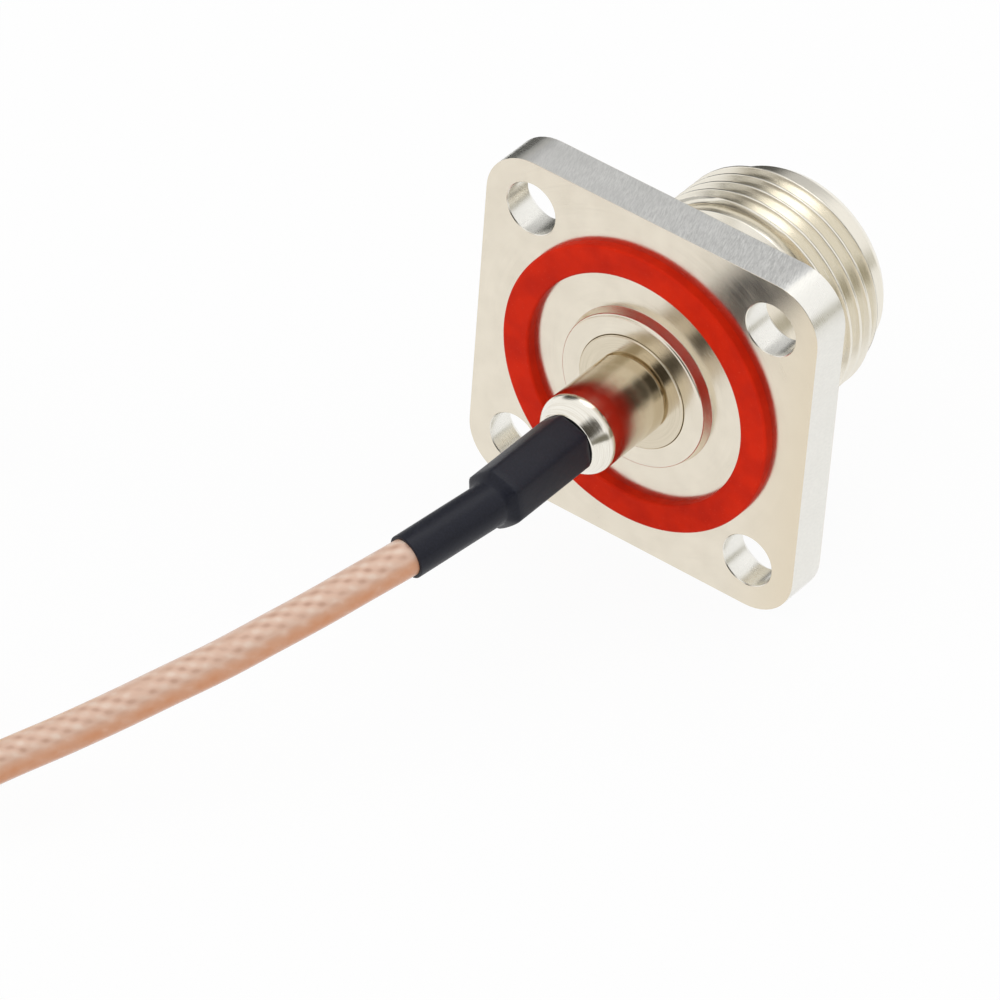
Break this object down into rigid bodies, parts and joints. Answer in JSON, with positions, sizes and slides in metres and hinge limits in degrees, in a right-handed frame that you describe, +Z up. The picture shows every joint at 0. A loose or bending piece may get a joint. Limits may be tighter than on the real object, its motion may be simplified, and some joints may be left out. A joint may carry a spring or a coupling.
{
  "type": "coaxial connector",
  "caption": "Square-flange panel coaxial jack with a threaded barrel, crimped to a thin coaxial lead that ends in a small threaded plug.",
  "frame": {"origin": "centre of the four mounting holes, on the flange's rear face, the one that carries the gasket", "axes": "+Y along the barrel, the way a mating plug leaves; +Z up, square to the flange's top edge; +X along the flange's rear face, to the right when it is seen from behind"},
  "size_m": [0.057, 0.0809, 0.0254],
  "materials": {
    "nickel_plate": "satin nickel plate, slightly warm",
    "gold_plate": "bright gold plate",
    "insulator": "waxy white",
    "red_gasket": "smooth satin rubber",
    "heat_shrink": "satin black",
    "cable_jacket": "clear jacket with a copper coloured braid showing through",
    "silvered_wire": "silvered copper"
  },
  "bodies": {
    "pigtail": {"jack_shell": "nickel_plate", "crimp_body": "nickel_plate", "front_insulator": "insulator", "rear_insulator": "insulator", "centre_contact": "gold_plate", "panel_gasket": "red_gasket", "crimp_ferrule": "nickel_plate", "heat_shrink_sleeve": "heat_shrink", "heat_shrink_tail": "heat_shrink", "cable_conductor": "silvered_wire", "cable_dielectric": "insulator", "cable_braid": "silvered_wire", "cable_lead": "cable_jacket", "cable_coil": "cable_jacket", "cable_tail": "cable_jacket", "coil_tie": "heat_shrink", "plug_body": "gold_plate", "plug_snap_ring": "gold_plate", "plug_gasket": "red_gasket", "plug_insulator": "insulator", "plug_pin": "gold_plate", "plug_conductor": "silvered_wire", "plug_dielectric": "insulator", "plug_braid": "silvered_wire", "plug_ferrule": "gold_plate", "plug_heat_shrink": "heat_shrink"},
    "coupling_nut": {"plug_coupling_nut": "gold_plate"}
  },
  "joints": [
    {"name": "nut_turn", "type": "hinge", "parent": "pigtail", "child": "coupling_nut", "pos_m": [-0.0397, -0.025, -0.0084], "axis": [0, 1, 0], "continuous": true}
  ]
}
